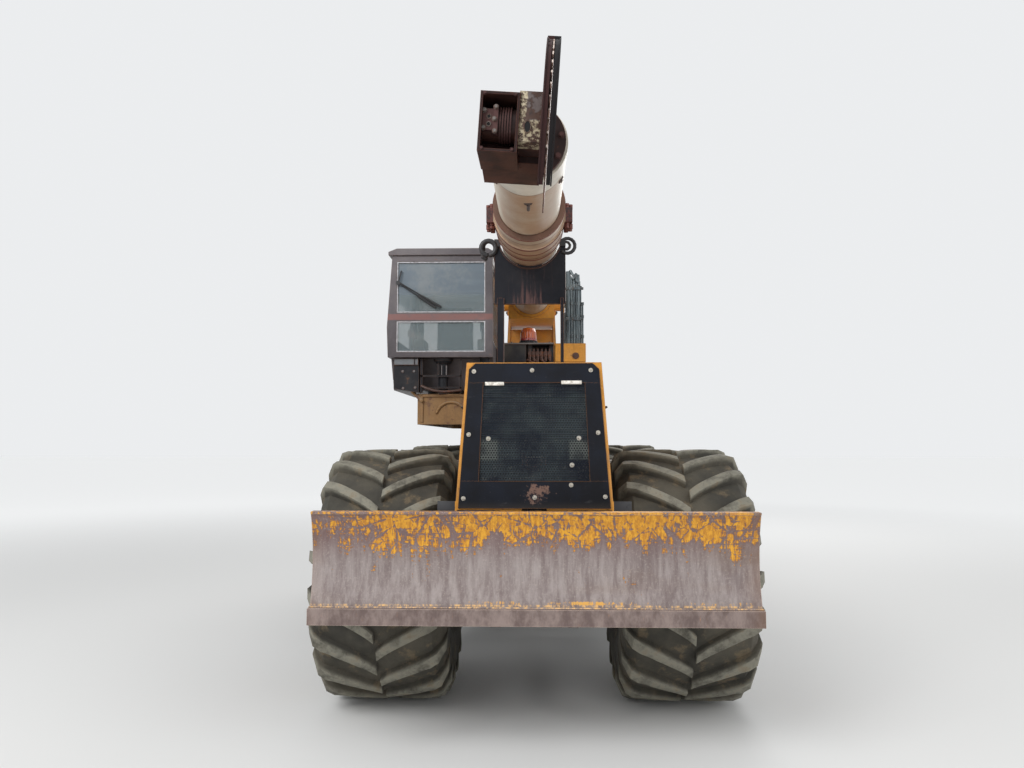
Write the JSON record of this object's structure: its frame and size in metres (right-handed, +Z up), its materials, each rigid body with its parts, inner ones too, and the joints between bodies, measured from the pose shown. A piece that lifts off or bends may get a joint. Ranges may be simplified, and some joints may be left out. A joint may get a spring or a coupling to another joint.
{
  "type": "boom tree trimmer",
  "caption": "Four-wheel-steer forestry carrier with a slewing deck, side cab, front dozer blade and a telescopic fibreglass boom that ends in a rolling circular saw.",
  "frame": {"origin": "on the ground below the middle of the machine's overall length and width, boom resting forwards", "axes": "+Y runs from the saw at the front to the hitch at the back, +Z up, +X on the right of someone facing the front"},
  "size_m": [2.59, 7.2816, 3.4166],
  "materials": {
    "tyre_rubber": "dusty black rubber",
    "rim_paint": "dusty yellow paint",
    "black_steel": "worn black paint",
    "yellow_paint": "weathered yellow paint",
    "worn_yellow_steel": "scraped yellow paint over brown steel",
    "dusty_paint": "dusty rusted paint",
    "cab_paint": "dusty grey paint",
    "tinted_glass": "dusty tinted glass",
    "seat_fabric": "worn black cloth",
    "dark_plastic": "matt black plastic",
    "engine_iron": "oily cast iron",
    "cream_fibreglass": "stained cream fibreglass",
    "rusty_steel": "rusty brown steel",
    "saw_steel": "resin-stained saw steel",
    "cylinder_paint": "grey paint",
    "chrome_rod": "chromed rod",
    "hose_steel": "grey-blue pipes",
    "amber_lens": "amber lens on a black base"
  },
  "bodies": {
    "chassis": {"chassis_frame": "black_steel", "front_axle": "black_steel", "rear_axle": "black_steel", "hood": "yellow_paint", "rear_cover": "yellow_paint", "grille_panel": "black_steel", "engine_block": "engine_iron", "boom_rest": "black_steel", "slew_base": "black_steel", "side_tanks": "dusty_paint", "access_steps": "black_steel", "counterweight": "black_steel"},
    "turret": {"turret_deck": "dusty_paint", "mast": "yellow_paint", "valve_frame": "black_steel", "warning_beacon": "amber_lens", "tower_bracket": "yellow_paint", "hose_tower": "hose_steel", "cab_shell": "cab_paint", "cab_roof": "cab_paint", "cab_glazing": "tinted_glass", "operator_seat": "seat_fabric", "cab_controls": "dark_plastic", "cab_mounts": "black_steel"},
    "cab_door": {"cab_door": "cab_paint", "door_glass": "tinted_glass"},
    "boom": {"boom_base": "yellow_paint", "outer_tube": "cream_fibreglass"},
    "boom_mid": {"mid_tube": "cream_fibreglass"},
    "boom_tip": {"tip_tube": "cream_fibreglass"},
    "saw_head": {"saw_head": "rusty_steel", "saw_motor": "rusty_steel", "saw_guard": "rusty_steel"},
    "saw_disc": {"saw_disc": "saw_steel"},
    "lift_barrels": {"lift_barrels": "cylinder_paint"},
    "lift_rods": {"lift_rods": "chrome_rod"},
    "blade": {"blade": "worn_yellow_steel", "blade_arms": "black_steel"},
    "blade_barrel": {"blade_cylinder_barrel": "cylinder_paint"},
    "blade_rod": {"blade_cylinder_rod": "chrome_rod"},
    "tie_rod_front": {"tie_rod_front": "black_steel"},
    "tie_rod_rear": {"tie_rod_rear": "black_steel"},
    "knuckle_front_left": {"knuckle_front_left": "black_steel"},
    "wheel_front_left": {"tyre_front_left": "tyre_rubber", "rim_front_left": "rim_paint"},
    "knuckle_front_right": {"knuckle_front_right": "black_steel"},
    "wheel_front_right": {"tyre_front_right": "tyre_rubber", "rim_front_right": "rim_paint"},
    "knuckle_rear_left": {"knuckle_rear_left": "black_steel"},
    "wheel_rear_left": {"tyre_rear_left": "tyre_rubber", "rim_rear_left": "rim_paint"},
    "knuckle_rear_right": {"knuckle_rear_right": "black_steel"},
    "wheel_rear_right": {"tyre_rear_right": "tyre_rubber", "rim_rear_right": "rim_paint"}
  },
  "joints": [
    {"name": "steer_front_left", "type": "hinge", "parent": "chassis", "child": "knuckle_front_left", "pos_m": [-0.6, -1.00406, 0.785], "axis": [0, 0, 1], "range_deg": [-20, 20]},
    {"name": "spin_front_left", "type": "hinge", "parent": "knuckle_front_left", "child": "wheel_front_left", "pos_m": [-0.9, -1.00406, 0.785], "axis": [1, 0, 0], "continuous": true},
    {"name": "steer_front_right", "type": "hinge", "parent": "chassis", "child": "knuckle_front_right", "pos_m": [0.6, -1.00406, 0.785], "axis": [0, 0, 1], "range_deg": [-20, 20]},
    {"name": "spin_front_right", "type": "hinge", "parent": "knuckle_front_right", "child": "wheel_front_right", "pos_m": [0.9, -1.00406, 0.785], "axis": [1, 0, 0], "continuous": true},
    {"name": "steer_rear_left", "type": "hinge", "parent": "chassis", "child": "knuckle_rear_left", "pos_m": [-0.6, 1.99594, 0.785], "axis": [0, 0, 1], "range_deg": [-20, 20]},
    {"name": "spin_rear_left", "type": "hinge", "parent": "knuckle_rear_left", "child": "wheel_rear_left", "pos_m": [-0.9, 1.99594, 0.785], "axis": [1, 0, 0], "continuous": true},
    {"name": "steer_rear_right", "type": "hinge", "parent": "chassis", "child": "knuckle_rear_right", "pos_m": [0.6, 1.99594, 0.785], "axis": [0, 0, 1], "range_deg": [-20, 20]},
    {"name": "spin_rear_right", "type": "hinge", "parent": "knuckle_rear_right", "child": "wheel_rear_right", "pos_m": [0.9, 1.99594, 0.785], "axis": [1, 0, 0], "continuous": true},
    {"name": "tie_rod_front_pivot", "type": "hinge", "parent": "knuckle_front_left", "child": "tie_rod_front", "pos_m": [-0.6, -1.20906, 0.749], "axis": [0, 0, 1], "range_deg": [-21, 21]},
    {"name": "tie_rod_rear_pivot", "type": "hinge", "parent": "knuckle_rear_left", "child": "tie_rod_rear", "pos_m": [-0.6, 2.20094, 0.749], "axis": [0, 0, 1], "range_deg": [-21, 21]},
    {"name": "slew", "type": "hinge", "parent": "chassis", "child": "turret", "pos_m": [0, 1.79594, 1.755], "axis": [0, 0, 1], "continuous": true},
    {"name": "door_hinge", "type": "hinge", "parent": "turret", "child": "cab_door", "pos_m": [-1.234, 1.39594, 2.6], "axis": [0, 0, -1], "range_deg": [0, 95]},
    {"name": "boom_lift", "type": "hinge", "parent": "turret", "child": "boom", "pos_m": [-0.025, 3.09594, 3.173], "axis": [-1, 0, 0], "range_deg": [0, 70]},
    {"name": "boom_extend", "type": "slide", "parent": "boom", "child": "boom_mid", "axis": [0, -0.9988, -0.0494], "range_m": [0, 3.3]},
    {"name": "tip_extend", "type": "slide", "parent": "boom_mid", "child": "boom_tip", "axis": [0, -0.9988, -0.0494], "range_m": [0, 3.5]},
    {"name": "head_roll", "type": "hinge", "parent": "boom_tip", "child": "saw_head", "pos_m": [-0.025, -2.97195, 2.87305], "axis": [0, -0.9988, -0.0494], "range_deg": [-170, 170]},
    {"name": "saw_spin", "type": "hinge", "parent": "saw_head", "child": "saw_disc", "pos_m": [0.05519, -3.33066, 2.78346], "axis": [0.9976, 0.0034, -0.0697], "continuous": true},
    {"name": "lift_barrel_pivot", "type": "hinge", "parent": "turret", "child": "lift_barrels", "pos_m": [-0.025, 2.49594, 2.13], "axis": [-1, 0, 0], "range_deg": [-5, 20]},
    {"name": "lift_rod_slide", "type": "slide", "parent": "lift_barrels", "child": "lift_rods", "axis": [0, 0.0007, 1], "range_m": [0, 0.7]},
    {"name": "blade_lift", "type": "hinge", "parent": "chassis", "child": "blade", "pos_m": [0, -0.15406, 0.6], "axis": [1, 0, 0], "range_deg": [0, 19]},
    {"name": "blade_barrel_pivot", "type": "hinge", "parent": "chassis", "child": "blade_barrel", "pos_m": [0, -1.64406, 1.5], "axis": [1, 0, 0], "range_deg": [-2, 15]},
    {"name": "blade_rod_slide", "type": "slide", "parent": "blade_barrel", "child": "blade_rod", "axis": [0, -0.1987, -0.9801], "range_m": [0, 0.6]}
  ],
  "couplings": [
    {"joint": "steer_front_right", "follows": "steer_front_left", "ratio": 1},
    {"joint": "tie_rod_front_pivot", "follows": "steer_front_left", "ratio": -1},
    {"joint": "steer_rear_right", "follows": "steer_rear_left", "ratio": 1},
    {"joint": "tie_rod_rear_pivot", "follows": "steer_rear_left", "ratio": -1},
    {"joint": "tip_extend", "follows": "boom_extend", "ratio": 1},
    {"joint": "lift_barrel_pivot", "follows": "boom_lift", "ratio": 0.1645},
    {"joint": "lift_rod_slide", "follows": "boom_lift", "m_per_rad": 0.53912},
    {"joint": "blade_barrel_pivot", "follows": "blade_lift", "ratio": 0.3287},
    {"joint": "blade_rod_slide", "follows": "blade_lift", "m_per_rad": 1.6139}
  ]
}
